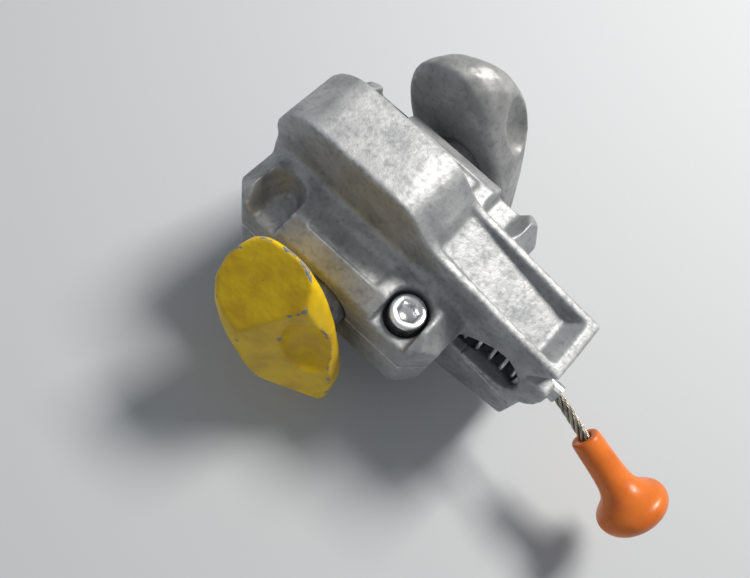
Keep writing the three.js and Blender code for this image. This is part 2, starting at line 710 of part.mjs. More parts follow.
// ---- pull wire and knob -----------------------------------------------------------------------

const WIRE_POINTS = [
  [WIRE_START, PULL_Y, 0],
  [40, PULL_Y, 0],
  [60, PULL_Y, 0],
  [80, PULL_Y, 0],
  [96, PULL_Y, 0],
  [103, -2.6, -0.3],
  [110, -3.7, -1.0],
  [119, -5.6, -2.6],
  KNOB_START.toArray(),
  KNOB_START.clone().addScaledVector(KNOB_AIM, 10).toArray(),
  KNOB_START.clone().addScaledVector(KNOB_AIM, 22).toArray(),
].map((p) => new THREE.Vector3(...p));

function pullWire() {
  return rod(new THREE.CatmullRomCurve3(WIRE_POINTS), WIRE_R, 8, 26);
}

function innerFerrule() {
  const from = TAB_X - FIT - INNER_FERRULE;
  const body = bar('x', INNER_FERRULE_R, from, from + INNER_FERRULE, [PULL_Y, 0], 16);
  return without(body, bar('x', WIRE_R + 0.4, from + 0.6, TAB_X, [PULL_Y, 0], 12));
}

/** Crimped stop on the wire, just outside the nose. */
function stopFerrule() {
  const from = NOSE_END + 1;
  const curve = new THREE.CatmullRomCurve3(WIRE_POINTS);
  const skin = bar('x', STOP_FERRULE_R, from, from + STOP_FERRULE, [PULL_Y - 0.5, -0.3], 16);
  return without(skin, rod(curve, WIRE_R + 0.35, 12, 26));
}

/** Turns a solid built along +x from the origin to lie along the knob's line. */
function alongKnob(geometry) {
  geometry.rotateZ(-Math.PI / 2);
  geometry.applyQuaternion(new THREE.Quaternion().setFromUnitVectors(AXES.X, KNOB_AIM));
  geometry.translate(KNOB_START.x, KNOB_START.y, KNOB_START.z);
  return solid(geometry);
}

function lathe(profile, sides) {
  return alongKnob(new THREE.LatheGeometry(profile.map(([r, s]) => point(r, s)), sides));
}

function pullKnob() {
  const length = KNOB_LENGTH;
  const outer = lathe([
    [0, 0], [KNOB_SHANK_R - 0.6, 0], [KNOB_SHANK_R, 0.8], [KNOB_SHANK_R + 0.4, length * 0.45],
    [KNOB_SHANK_R + 1.6, length * 0.58], [KNOB_SHANK_R + 5, length * 0.66],
    [KNOB_HEAD_R - 1.2, length * 0.72], [KNOB_HEAD_R, length * 0.78], [KNOB_HEAD_R - 0.4, length * 0.85],
    [KNOB_HEAD_R - 3, length * 0.92], [KNOB_HEAD_R - 9, length * 0.98], [0, length],
  ], 28);
  const bore = lathe([[0, -1], [WIRE_R + 0.5, -1], [WIRE_R + 0.5, 12], [KNOB_FERRULE_R + FIT, 12.01],
    [KNOB_FERRULE_R + FIT, 24], [0, 24]], 16);
  return without(outer, bore);
}

/** Crimp inside the knob that the plastic is moulded round. */
function knobFerrule() {
  const body = lathe([[0, 12.4], [KNOB_FERRULE_R, 12.4], [KNOB_FERRULE_R, 23.6], [0, 23.6]], 16);
  const bore = lathe([[0, 11], [WIRE_R + 0.5, 11], [WIRE_R + 0.5, 22.4], [0, 22.4]], 12);
  return without(body, bore);
}

// ---- fasteners --------------------------------------------------------------------------------

function capScrew({ wayX, side }) {
  const at = [wayX * POCKET_X, side * POCKET_Y];
  const under = HEAD_TOP - HEAD_HIGH;
  const corner = KEY_SIZE / 2 / Math.cos(Math.PI / 6);
  const hex = new THREE.CylinderGeometry(corner, corner, 2 * SOCKET_DEPTH, 6);
  hex.rotateX(Math.PI / 2);
  hex.translate(at[0], at[1], HEAD_TOP);
  return without(
    all(bar('z', HEAD_R, under, HEAD_TOP, at, 28), bar('z', SCREW_R, SCREW_END, under + 1, at, 20)),
    solid(hex),
  );
}

function lockWasher({ wayX, side }) {
  const at = [wayX * POCKET_X, side * POCKET_Y];
  const top = HEAD_TOP - HEAD_HIGH - FIT;
  const ring = bar('z', HEAD_R - 0.3, top - WASHER_THICK, top, at, 24);
  return without(ring, bar('z', SCREW_R + FIT, top - WASHER_THICK - 1, top + 1, at, 20));
}

function dowel({ wayX, side }) {
  const at = [wayX * POCKET_X, side * POCKET_Y];
  return bar('z', DOWEL_R, -DOWEL_HALF, DOWEL_HALF, at, 16);
}

// ---- the object -------------------------------------------------------------------------------

const CAST = { color: 0xb4b8ba, roughness: 0.55, metalness: 0.6 };
const STEEL = { color: 0xa9adb0, roughness: 0.4, metalness: 0.9 };
const ZINC = { color: 0xd6dadc, roughness: 0.3, metalness: 0.9 };
const YELLOW = { color: 0xf2c80f, roughness: 0.5, metalness: 0.0 };
const ORANGE = { color: 0xe8701a, roughness: 0.35, metalness: 0.0 };

const twistlock = new THREE.Group();
twistlock.position.z = FLANGE_HALF;

/** Adds a solid to the group as a named mesh. */
function add(name, body, finish) {
  const { vertProperties, triVerts } = body.getMesh();
  const geometry = new THREE.BufferGeometry();
  geometry.setAttribute('position', new THREE.Float32BufferAttribute(vertProperties, 3));
  geometry.setIndex([...triVerts]);
  geometry.computeVertexNormals();
  const mesh = new THREE.Mesh(geometry, new THREE.MeshStandardMaterial(finish));
  mesh.name = name;
  twistlock.add(mesh);
}

const form = outerForm();
add('upper_housing', upperHousing(form), CAST);
add('lower_housing', lowerHousing(form), CAST);
add('lock_shaft', lockShaft(), STEEL);
add('lower_cone', cone(LOWER_CONE), YELLOW);
add('upper_cone', cone(UPPER_CONE), CAST);
add('lower_cone_pin', conePin(LOWER_CONE), STEEL);
add('upper_cone_pin', conePin(UPPER_CONE), STEEL);
add('shaft_lever', shaftLever(), STEEL);
add('lever_key', keyBlock(0), STEEL);
add('link_pin', linkPin(), STEEL);
add('pull_link', pullLink(), STEEL);
add('spring_cup', springCup(), STEEL);
add('return_spring', returnSpring(), STEEL);
add('spring_seat', springSeat(), STEEL);
add('pull_wire', pullWire(), STEEL);
add('inner_ferrule', innerFerrule(), ZINC);
add('stop_ferrule', stopFerrule(), ZINC);
add('knob_ferrule', knobFerrule(), ZINC);
add('pull_knob', pullKnob(), ORANGE);

const SCREWED = CORNERS.filter(({ screw }) => screw);
const DOWELLED = CORNERS.filter(({ screw }) => !screw);
SCREWED.forEach((corner, i) => {
  add(`cap_screw_${i + 1}`, capScrew(corner), ZINC);
  add(`lock_washer_${i + 1}`, lockWasher(corner), STEEL);
});
DOWELLED.forEach((corner, i) => {
  add(`dowel_pin_${i + 1}`, dowel(corner), STEEL);
});

export default twistlock;
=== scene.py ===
"""Looks of a semi-automatic container twistlock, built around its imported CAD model.

The frame's origin lies on the flange's side face, straight below the shaft. +Y runs along the shaft
from the yellow cone to the grey cone, +X runs to the nose and its pull wire, and +Z is up.
"""

import logging
import math
from dataclasses import dataclass, field
from enum import Enum
from typing import Callable, Iterable, Sequence

import bmesh
import bpy
import numpy as np
from mathutils import Matrix, Vector, noise


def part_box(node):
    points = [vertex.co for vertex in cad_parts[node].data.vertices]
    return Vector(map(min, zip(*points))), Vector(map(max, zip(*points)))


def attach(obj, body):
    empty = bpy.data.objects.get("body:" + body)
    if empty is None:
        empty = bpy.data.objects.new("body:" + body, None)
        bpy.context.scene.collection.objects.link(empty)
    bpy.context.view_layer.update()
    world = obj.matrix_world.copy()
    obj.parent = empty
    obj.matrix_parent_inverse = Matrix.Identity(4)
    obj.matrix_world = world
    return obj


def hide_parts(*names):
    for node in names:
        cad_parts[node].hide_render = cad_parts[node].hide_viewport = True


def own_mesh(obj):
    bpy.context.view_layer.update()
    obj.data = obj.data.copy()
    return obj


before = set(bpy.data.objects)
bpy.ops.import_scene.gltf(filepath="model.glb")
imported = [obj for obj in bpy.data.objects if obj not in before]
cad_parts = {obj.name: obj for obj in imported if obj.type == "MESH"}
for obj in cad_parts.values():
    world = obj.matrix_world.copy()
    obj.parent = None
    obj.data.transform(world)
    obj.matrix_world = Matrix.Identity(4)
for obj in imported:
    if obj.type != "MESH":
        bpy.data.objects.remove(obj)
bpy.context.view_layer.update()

LOG = logging.getLogger("twistlock")
MM = 0.001
SHAFT_HEIGHT = 58 * MM

Colour = tuple[float, float, float, float]


# ---- small tools ------------------------------------------------------------------------------


def linear(code: str) -> Colour:
    """Turns an sRGB hex code into a linear colour.

    Args:
        code: Six hex digits, with or without a leading hash sign.

    Returns:
        Red, green, blue and an alpha of one.
    """
    digits = code.lstrip("#")
    parts = [int(digits[i : i + 2], 16) / 255 for i in (0, 2, 4)]
    steps = [c / 12.92 if c <= 0.04045 else ((c + 0.055) / 1.055) ** 2.4 for c in parts]
    return (steps[0], steps[1], steps[2], 1.0)


def per_metre(size_mm: float) -> float:
    """Texture scale that gives features of about this size in millimetres."""
    return 1 / (size_mm * MM)


def add_node(tree: bpy.types.NodeTree, kind: str, values: dict | None = None, **settings) -> bpy.types.Node:
    """Adds a node with its settings, socket values and links.

    Args:
        tree: The node tree to add to.
        kind: The node's type name.
        values: Socket name or index to a plain value, or to another node's output socket to link.
        **settings: Attributes of the node itself.

    Returns:
        The new node.
    """
    node = tree.nodes.new(kind)
    for key, value in settings.items():
        setattr(node, key, value)
    for key, value in (values or {}).items():
        if isinstance(value, bpy.types.NodeSocket):
            tree.links.new(value, node.inputs[key])
        else:
            node.inputs[key].default_value = value
    return node


def ramp_stops(node: bpy.types.Node, stops: Sequence[tuple[float, Colour]]) -> None:
    """Sets a colour ramp's stops.

    Args:
        node: A colour ramp node.
        stops: Position and colour of each stop, from low to high.
    """
    elements = node.color_ramp.elements
    while len(elements) > 1:
        elements.remove(elements[-1])
    elements[0].position, elements[0].color = stops[0]
    for position, colour in stops[1:]:
        elements.new(position).color = colour


def grey(value: float) -> Colour:
    """A grey stop for ramps that carry a factor and not a colour."""
    return (value, value, value, 1.0)


def mesh_piece(name: str, points: Iterable, faces: Iterable, smooth: bool = True) -> bpy.types.Object:
    """Makes an object from points and faces in the frame's own metres.

    Args:
        name: The piece's name.
        points: Its vertices.
        faces: Its faces, as lists of vertex numbers.
        smooth: Whether it is shaded smooth.

    Returns:
        The object, linked to the scene.
    """
    mesh = bpy.data.meshes.new(name)
    mesh.from_pydata([tuple(p) for p in points], [], [tuple(f) for f in faces])
    mesh.update()
    mesh.polygons.foreach_set("use_smooth", [smooth] * len(mesh.polygons))
    piece = bpy.data.objects.new(name, mesh)
    bpy.context.scene.collection.objects.link(piece)
    return piece


def settle(piece: bpy.types.Object) -> None:
    """Bakes a piece's modifiers into its mesh.

    Args:
        piece: The object whose modifiers are applied.
    """
    graph = bpy.context.evaluated_depsgraph_get()
    finished = bpy.data.meshes.new_from_object(piece.evaluated_get(graph))
    old = piece.data
    piece.modifiers.clear()
    piece.data = finished
    bpy.data.meshes.remove(old)
    finished.polygons.foreach_set("use_smooth", [True] * len(finished.polygons))


def face_outwards(piece: bpy.types.Object) -> None:
    """Makes all of a closed mesh's faces point out."""
    work = bmesh.new()
    work.from_mesh(piece.data)
    bmesh.ops.recalc_face_normals(work, faces=work.faces)
    work.to_mesh(piece.data)
    work.free()


def turned_profile(
    name: str,
    profile: Sequence[tuple[float, float]],
    start: Vector,
    aim: Vector,
    sides: int = 64,
) -> bpy.types.Object:
    """Turns a profile about a line, as on a lathe.

    Args:
        name: The piece's name.
        profile: Radius and distance along the line of each point, both in millimetres. A radius of
            zero closes the form on the line.
        start: Where the line starts.
        aim: The line's direction.
        sides: Number of sides round the line.

    Returns:
        The closed piece.
    """
    across = aim.orthogonal().normalized()
    other = aim.cross(across).normalized()
    points: list[Vector] = []
    rings: list[list[int]] = []
    for radius, along in profile:
        centre = start + aim * (along * MM)
        if radius <= 0:
            rings.append([len(points)])
            points.append(centre)
            continue
        ring = []
        for i in range(sides):
            angle = 2 * math.pi * i / sides
            ring.append(len(points))
            points.append(centre + (across * math.cos(angle) + other * math.sin(angle)) * radius * MM)
        rings.append(ring)
    faces = []
    closed = len(rings[0]) > 1
    pairs = list(zip(rings, rings[1:] + ([rings[0]] if closed else [])))
    for low, high in pairs:
        for i in range(sides):
            j = (i + 1) % sides
            if len(low) == 1 and len(high) > 1:
                faces.append((low[0], high[j], high[i]))
            elif len(high) == 1 and len(low) > 1:
                faces.append((low[i], low[j], high[0]))
            elif len(low) > 1:
                faces.append((low[i], low[j], high[j], high[i]))
    piece = mesh_piece(name, points, faces)
    face_outwards(piece)
    return piece


def soften_edges(piece: bpy.types.Object, width_mm: float, angle: float = 35) -> None:
    """Rounds a piece's sharp edges with a bevel.

    Args:
        piece: The object.
        width_mm: Width of the bevel.
        angle: Edges sharper than this, in degrees, are rounded.
    """
    bevel = piece.modifiers.new("rounded_edges", "BEVEL")
    bevel.width = width_mm * MM
    bevel.segments = 3
    bevel.limit_method = "ANGLE"
    bevel.angle_limit = math.radians(angle)
    bevel.harden_normals = False
    settle(piece)


# ---- finishes ---------------------------------------------------------------------------------


class Wear(Enum):
    """How far handling has rubbed or knocked a finish's edges bare."""

    NONE = 0.0
    LIGHT = 0.5
    HEAVY = 1.0


@dataclass(frozen=True)
class Finish:
    """A surface finish that can be put on a piece.

    Attributes:
        name: The material's name.
        slot: The record's material slot that it belongs to. Not used.
    """

    name: str
    slot: str

    def shade(self, tree: bpy.types.NodeTree, shader: bpy.types.Node, place: bpy.types.NodeSocket) -> None:
        """Sets up the shader. Each finish writes its own."""
        raise NotImplementedError

    def material(self) -> bpy.types.Material:
        """Makes the finish's material, or gives the one made before."""
        known = bpy.data.materials.get(self.name)
        if known:
            return known
        made = bpy.data.materials.new(self.name)
        made.use_nodes = True
        tree = made.node_tree
        tree.nodes.clear()
        shader = add_node(tree, "ShaderNodeBsdfPrincipled")
        add_node(tree, "ShaderNodeOutputMaterial", {"Surface": shader.outputs["BSDF"]})
        place = add_node(tree, "ShaderNodeTexCoord").outputs["Object"]
        self.shade(tree, shader, place)
        return made

    def put_on(self, piece: bpy.types.Object) -> None:
        """Dresses a piece in this finish."""
        piece.data.materials.clear()
        piece.data.materials.append(self.material())

    def put_on_node(self, node: str) -> None:
        """Dresses a shown CAD node in this finish."""
        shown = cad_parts[node]
        for place in shown.material_slots:
            place.material = self.material()


@dataclass(frozen=True)
class GalvanisedCasting(Finish):
    """Hot-dip galvanised steel casting.

    The sand mould leaves a coarse orange peel, and the zinc over it is pale and slightly sparkling,
    with dull darker patches, painted shade in its hollows and brighter rubbed edges.
    """

    light: str = "#b4b6b9"
    dull: str = "#94979b"
    # Dark tone, used both for random stains and for painted shade in the hollows.
    dark_stain_and_shade: str = "#5d6064"
    rubbed: str = "#dcdedf"
    wear: Wear = Wear.HEAVY
    grain_mm: float = 1.5
    metallic: float = 0.5
    depth_mm: float = 0.14

    def shade(self, tree: bpy.types.NodeTree, shader: bpy.types.Node, place: bpy.types.NodeSocket) -> None:
        """Sets up mottled zinc over a grainy casting skin.

        Args:
            tree: The material's node tree.
            shader: The main shader.
            place: The object's own coordinates.
        """
        patches = add_node(
            tree, "ShaderNodeTexNoise",
            {"Vector": place, "Scale": per_metre(13), "Detail": 5},
        )
        base = add_node(tree, "ShaderNodeValToRGB", {"Fac": patches.outputs["Fac"]})
        ramp_stops(base, [(0.32, linear(self.dull)), (0.62, linear(self.light))])
        mottle = add_node(
            tree, "ShaderNodeTexNoise",
            {"Vector": place, "Scale": per_metre(2.4), "Detail": 3},
        )
        stains = add_node(tree, "ShaderNodeValToRGB", {"Fac": mottle.outputs["Fac"]})
        ramp_stops(stains, [(0.28, grey(0.34)), (0.5, grey(0))])
        toned = add_node(
            tree, "ShaderNodeMix",
            {0: stains.outputs["Color"], 6: base.outputs["Color"], 7: linear(self.dark_stain_and_shade)}, data_type="RGBA",
        )
        edge = add_node(tree, "ShaderNodeNewGeometry")
        ragged = add_node(
            tree, "ShaderNodeMath",
            {0: mottle.outputs["Fac"], 1: 0.06, 2: edge.outputs["Pointiness"]}, operation="MULTIPLY_ADD",
        )
        rub = add_node(tree, "ShaderNodeValToRGB", {"Fac": ragged.outputs[0]})
        ramp_stops(rub, [(0.55, grey(0)), (0.6, grey(0.9 * self.wear.value))])
        worn = add_node(
            tree, "ShaderNodeMix",
            {0: rub.outputs["Color"], 6: toned.outputs[2], 7: linear(self.rubbed)}, data_type="RGBA",
        )
        # Painted shade: where pointiness is low, in hollows and inner corners, the colour is pulled towards
        # the dark tone.
        hollow_painted_shade = add_node(tree, "ShaderNodeValToRGB", {"Fac": edge.outputs["Pointiness"]})
        ramp_stops(hollow_painted_shade, [(0.43, grey(0.75)), (0.49, grey(0))])
        with_painted_shade = add_node(
            tree, "ShaderNodeMix",
            {0: hollow_painted_shade.outputs["Color"], 6: worn.outputs[2], 7: linear(self.dark_stain_and_shade)}, data_type="RGBA",
        )
        tree.links.new(with_painted_shade.outputs[2], shader.inputs["Base Color"])
        shader.inputs["Metallic"].default_value = self.metallic
        gloss = add_node(
            tree, "ShaderNodeMapRange", {"Value": mottle.outputs["Fac"], 1: 0.3, 2: 0.7, 3: 0.6, 4: 0.48}
        )
        tree.links.new(gloss.outputs[0], shader.inputs["Roughness"])
        grain = add_node(
            tree, "ShaderNodeTexNoise",
            {"Vector": place, "Scale": per_metre(self.grain_mm), "Detail": 4},
        )
        peel = add_node(
            tree, "ShaderNodeBump",
            {"Height": grain.outputs["Fac"], "Distance": self.depth_mm * MM, "Strength": 1.0},
        )
        sparkle = add_node(
            tree, "ShaderNodeTexNoise",
            {"Vector": place, "Scale": per_metre(self.grain_mm / 3), "Detail": 2},
        )
        fine = add_node(
            tree, "ShaderNodeBump",
            {"Height": sparkle.outputs["Fac"], "Distance": self.depth_mm * MM / 3, "Strength": 1.0,
             "Normal": peel.outputs["Normal"]},
        )
        tree.links.new(fine.outputs["Normal"], shader.inputs["Normal"])


@dataclass(frozen=True)
class ChippedPaint(Finish):
    """Thick brushed enamel on a forging, knocked off the corners down to grey metal."""

    paint: str = "#f0c90a"
    shade_paint: str = "#d9ae08"
    metal: str = "#8d8f90"
    dirt: str = "#6b5a20"
    wear: Wear = Wear.HEAVY

    def shade(self, tree: bpy.types.NodeTree, shader: bpy.types.Node, place: bpy.types.NodeSocket) -> None:
        """Sets up paint with chips along its edges.

        Args:
            tree: The material's node tree.
            shader: The main shader.
            place: The object's own coordinates.
        """
        wash = add_node(
            tree, "ShaderNodeTexNoise",
            {"Vector": place, "Scale": per_metre(11), "Detail": 4},
        )
        coat = add_node(tree, "ShaderNodeValToRGB", {"Fac": wash.outputs["Fac"]})
        ramp_stops(coat, [(0.34, linear(self.shade_paint)), (0.58, linear(self.paint))])
        edge = add_node(tree, "ShaderNodeNewGeometry")
        chip = add_node(
            tree, "ShaderNodeTexNoise",
            {"Vector": place, "Scale": per_metre(4.2), "Detail": 6},
        )
        sharpness = add_node(
            tree, "ShaderNodeMath", {0: edge.outputs["Pointiness"], 1: 7.0, 2: -3.5}, operation="MULTIPLY_ADD"
        )
        both = add_node(
            tree, "ShaderNodeMath", {0: sharpness.outputs[0], 1: chip.outputs["Fac"]}, operation="ADD"
        )
        bare = add_node(tree, "ShaderNodeValToRGB", {"Fac": both.outputs[0]})
        edge_at = 0.8 - 0.08 * self.wear.value
        ramp_stops(bare, [(edge_at, grey(0)), (edge_at + 0.03, grey(1))])
        speckle = add_node(
            tree, "ShaderNodeTexNoise",
            {"Vector": place, "Scale": per_metre(1.1), "Detail": 3},
        )
        stain = add_node(tree, "ShaderNodeValToRGB", {"Fac": speckle.outputs["Fac"]})
        ramp_stops(stain, [(0.24, grey(0.5)), (0.31, grey(0))])
        stained = add_node(
            tree, "ShaderNodeMix",
            {0: stain.outputs["Color"], 6: coat.outputs["Color"], 7: linear(self.dirt)}, data_type="RGBA",
        )
        whole = add_node(
            tree, "ShaderNodeMix",
            {0: bare.outputs["Color"], 6: stained.outputs[2], 7: linear(self.metal)}, data_type="RGBA",
        )
        tree.links.new(whole.outputs[2], shader.inputs["Base Color"])
        rough = add_node(tree, "ShaderNodeMapRange", {"Value": wash.outputs["Fac"], 3: 0.36, 4: 0.55})
        tree.links.new(rough.outputs[0], shader.inputs["Roughness"])
        ridge = add_node(
            tree, "ShaderNodeTexNoise",
            {"Vector": place, "Scale": per_metre(2.2), "Detail": 4},
        )
        relief = add_node(
            tree, "ShaderNodeBump", {"Height": ridge.outputs["Fac"], "Distance": 0.14 * MM, "Strength": 1.0}
        )
        step = add_node(
            tree, "ShaderNodeBump",
            {"Height": bare.outputs["Color"], "Distance": 0.12 * MM, "Strength": 1.0,
             "Normal": relief.outputs["Normal"]},
            invert=True,
        )
        tree.links.new(step.outputs["Normal"], shader.inputs["Normal"])


@dataclass(frozen=True)
class Steel(Finish):
    """Plain or plated steel, with fine drawing or tool marks and a cloudy tone."""

    colour: str = "#a4a6a8"
    tint: str = "#85878a"
    roughness: float = 0.34
    mark_mm: float = 0.8
    metallic: float = 1.0

    def shade(self, tree: bpy.types.NodeTree, shader: bpy.types.Node, place: bpy.types.NodeSocket) -> None:
        """Sets up metal with fine marks.

        Args:
            tree: The material's node tree.
            shader: The main shader.
            place: The object's own coordinates.
        """
        cloud = add_node(
            tree, "ShaderNodeTexNoise",
            {"Vector": place, "Scale": per_metre(5), "Detail": 4},
        )
        tone = add_node(tree, "ShaderNodeValToRGB", {"Fac": cloud.outputs["Fac"]})
        ramp_stops(tone, [(0.32, linear(self.tint)), (0.6, linear(self.colour))])
        tree.links.new(tone.outputs["Color"], shader.inputs["Base Color"])
        shader.inputs["Metallic"].default_value = self.metallic
        rough = add_node(
            tree, "ShaderNodeMapRange",
            {"Value": cloud.outputs["Fac"], 3: self.roughness * 0.8, 4: self.roughness * 1.3},
        )
        tree.links.new(rough.outputs[0], shader.inputs["Roughness"])
        marks = add_node(
            tree, "ShaderNodeTexNoise",
            {"Vector": place, "Scale": per_metre(self.mark_mm), "Detail": 3},
        )
        relief = add_node(
            tree, "ShaderNodeBump", {"Height": marks.outputs["Fac"], "Distance": 0.02 * MM, "Strength": 1.0}
        )
        tree.links.new(relief.outputs["Normal"], shader.inputs["Normal"])


@dataclass(frozen=True)
class MouldedPlastic(Finish):
    """Glossy injection-moulded polypropylene, softly scuffed, with light passing into its skin."""

    colour: str = "#ea7d2a"
    scuffed: str = "#dd7022"

    def shade(self, tree: bpy.types.NodeTree, shader: bpy.types.Node, place: bpy.types.NodeSocket) -> None:
        """Sets up a glossy plastic with faint flow marks.

        Args:
            tree: The material's node tree.
            shader: The main shader.
            place: The object's own coordinates.
        """
        flow = add_node(
            tree, "ShaderNodeTexNoise",
            {"Vector": place, "Scale": per_metre(9), "Detail": 3},
        )
        tone = add_node(tree, "ShaderNodeValToRGB", {"Fac": flow.outputs["Fac"]})
        ramp_stops(tone, [(0.35, linear(self.scuffed)), (0.6, linear(self.colour))])
        tree.links.new(tone.outputs["Color"], shader.inputs["Base Color"])
        shader.inputs["IOR"].default_value = 1.49
        shader.inputs["Subsurface Weight"].default_value = 0.08
        shader.inputs["Subsurface Radius"].default_value = (0.004, 0.0015, 0.0005)
        shader.inputs["Subsurface Scale"].default_value = 1.0
        scuffs = add_node(
            tree, "ShaderNodeTexNoise",
            {"Vector": place, "Scale": per_metre(1.8), "Detail": 5},
        )
        rough = add_node(
            tree, "ShaderNodeMapRange", {"Value": scuffs.outputs["Fac"], 1: 0.3, 2: 0.75, 3: 0.26, 4: 0.46}
        )
        tree.links.new(rough.outputs[0], shader.inputs["Roughness"])
        relief = add_node(
            tree, "ShaderNodeBump", {"Height": scuffs.outputs["Fac"], "Distance": 0.03 * MM, "Strength": 1.0}
        )
        tree.links.new(relief.outputs["Normal"], shader.inputs["Normal"])


# Sand-cast steel dipped in zinc: coarse grain, mottled pale grey, brighter where it is rubbed.
CASTING = GalvanisedCasting("sand_cast_galvanised_steel", "cast_housing")
# Drop-forged steel dipped in zinc: smoother than the castings, with broad soft highlights.
CONE_FORGING = GalvanisedCasting(
    "drop_forged_galvanised_steel", "cast_cone", light="#adaeaf", dull="#909293", wear=Wear.LIGHT,
    grain_mm=2.1, depth_mm=0.1,
)
# Thick enamel brushed on a forging: strong yellow, duller in random patches, chipped to grey at edges.
YELLOW_PAINT = ChippedPaint("brushed_enamel_on_forged_steel", "yellow_paint")
# Machined steel with an oil film: mid grey with fine marks.
BARE_STEEL = Steel("machined_oiled_steel", "plain_steel")
# Cold-drawn spring wire: brighter along the coils' crests.
SPRING_STEEL = Steel(
    "cold_drawn_spring_steel", "spring_steel", colour="#c3c5c7", tint="#8f9193", roughness=0.28
)
# Drawn wires laid in strands: warm bright lines with dark grease between them.
ROPE_STEEL = Steel(
    "drawn_wire_laid_in_strands", "wire_rope", colour="#c9c4b8", tint="#9c968a", roughness=0.3, mark_mm=0.4
)
ROPE_CORE = Steel(
    "greased_wire_core", "wire_rope", colour="#2e2b27", tint="#1f1d1a", roughness=0.6, metallic=0.3
)
# Ferrules pressed from aluminium: pale satin grey.
FERRULE_ALLOY = Steel("pressed_aluminium", "zinc_ferrule", colour="#c0c2c4", tint="#9b9d9f", roughness=0.38)
# Bright zinc plate on rolled and knurled screws: white metal with crisp highlights.
BRIGHT_ZINC = Steel(
    "zinc_plated_rolled_steel", "zinc_screw", colour="#eff1f2", tint="#d5d8da", roughness=0.27
)
# Injection-moulded polypropylene: glossy orange with a soft inner glow at its edges.
ORANGE_PLASTIC = MouldedPlastic("injection_moulded_polypropylene", "orange_plastic")


# ---- castings ---------------------------------------------------------------------------------


def neighbour_table(mesh: bpy.types.Mesh) -> tuple[np.ndarray, np.ndarray]:
    """Lists a mesh's edges as two arrays of vertex numbers."""
    ends = np.empty(len(mesh.edges) * 2, dtype=np.int64)
    mesh.edges.foreach_get("vertices", ends)
    return ends[0::2], ends[1::2]


def relax(
    points: np.ndarray, ends: tuple[np.ndarray, np.ndarray], weight: np.ndarray, rounds: int
) -> np.ndarray:
    """Rounds a surface by moving each point towards the middle of its neighbours.

    Args:
        points: Vertex places, one row each.
        ends: The edges' two ends.
        weight: How far each point goes, from zero to one.
        rounds: How many times it is done.

    Returns:
        The moved points.
    """
    a, b = ends
    count = np.bincount(a, minlength=len(points)) + np.bincount(b, minlength=len(points))
    count = np.maximum(count, 1)[:, None]
    for _ in range(rounds):
        total = np.zeros_like(points)
        for axis in range(3):
            total[:, axis] = np.bincount(a, points[b, axis], len(points)) + np.bincount(
                b, points[a, axis], len(points)
            )
        points = points + weight[:, None] * (total / count - points)
    return points


@dataclass
class CastPiece:
    """A cast or forged piece with rounded edges and a lumpy skin, grown from its CAD node.

    Attributes:
        node: The CAD node that it stands for.
        name: The new piece's name.
        body: The body it rides on.
        finish: Its finish.
        voxel_mm: Mesh spacing.
        rounds: How much its edges are rounded.
        lump_mm: Height of the skin's slow unevenness.
        keep_sharp: Gives each point's rounding weight, from zero to one.
        fillet: Gives the weight of a second, much longer rounding, for wide fillets.
    """

    node: str
    name: str
    body: str
    finish: Finish
    voxel_mm: float = 0.7
    rounds: int = 10
    lump_mm: float = 0.12
    keep_sharp: Callable[[np.ndarray], np.ndarray] | None = None
    fillet: Callable[[np.ndarray], np.ndarray] | None = None

    def build(self) -> bpy.types.Object:
        """Remeshes the CAD node, rounds it and roughens it.

        Returns:
            The finished piece.
        """
        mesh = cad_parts[self.node].data.copy()
        piece = bpy.data.objects.new(self.name, mesh)
        bpy.context.scene.collection.objects.link(piece)
        self.remesh(piece)
        self.shape(piece.data)
        self.finish.put_on(piece)
        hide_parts(self.node)
        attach(piece, self.body)
        LOG.info("%s: %d faces", self.name, len(piece.data.polygons))
        return piece

    def remesh(self, piece: bpy.types.Object) -> None:
        """Gives the piece an even mesh of small faces."""
        grid = piece.modifiers.new("even_mesh", "REMESH")
        grid.mode = "VOXEL"
        grid.voxel_size = self.voxel_mm * MM * 1
        settle(piece)

    def shape(self, mesh: bpy.types.Mesh) -> None:
        """Rounds the edges, then lifts and sinks the skin a little."""
        count = len(mesh.vertices)
        flat = np.empty(count * 3)
        mesh.vertices.foreach_get("co", flat)
        points = flat.reshape(count, 3)
        weight = np.full(count, 0.5)
        if self.keep_sharp:
            weight = weight * self.keep_sharp(points)
        ends = neighbour_table(mesh)
        if self.fillet:
            points = relax(points, ends, weight * self.fillet(points), FILLET_ROUNDS)
        points = relax(points, ends, weight, self.rounds)
        mesh.vertices.foreach_set("co", points.ravel())
        mesh.update()
        normals = np.empty(count * 3)
        mesh.vertices.foreach_get("normal", normals)
        lumps = np.array([
            noise.noise(Vector(p) * per_metre(6)) + 0.5 * noise.noise(Vector(p) * per_metre(2.2))
            for p in points
        ])
        points = points + normals.reshape(count, 3) * (lumps * self.lump_mm * MM * weight)[:, None]
        mesh.vertices.foreach_set("co", points.ravel())
        mesh.update()


FILLET_ROUNDS = 110
FILLET_AT_MM = (18.0, 31.0)
FILLET_REACH_MM = 4.5
FILLET_END_MM = 60.0
STEP_AT_MM = 63.0
STEP_DROP_MM = 10.0
STEP_FALL = 7 / 44
SEAM_SOFT_MM = 2.2


def inner_corner_weight(points: np.ndarray) -> np.ndarray:
    """Weight of the wide fillets where each collar meets the flange."""
    y = np.abs(points[:, 1]) / MM - FILLET_AT_MM[0]
    z = np.abs(points[:, 2] - SHAFT_HEIGHT) / MM - FILLET_AT_MM[1]
    near = np.exp(-(y**2 + z**2) / FILLET_REACH_MM**2)
    return np.where(np.abs(points[:, 0]) / MM < FILLET_END_MM, near, 0)


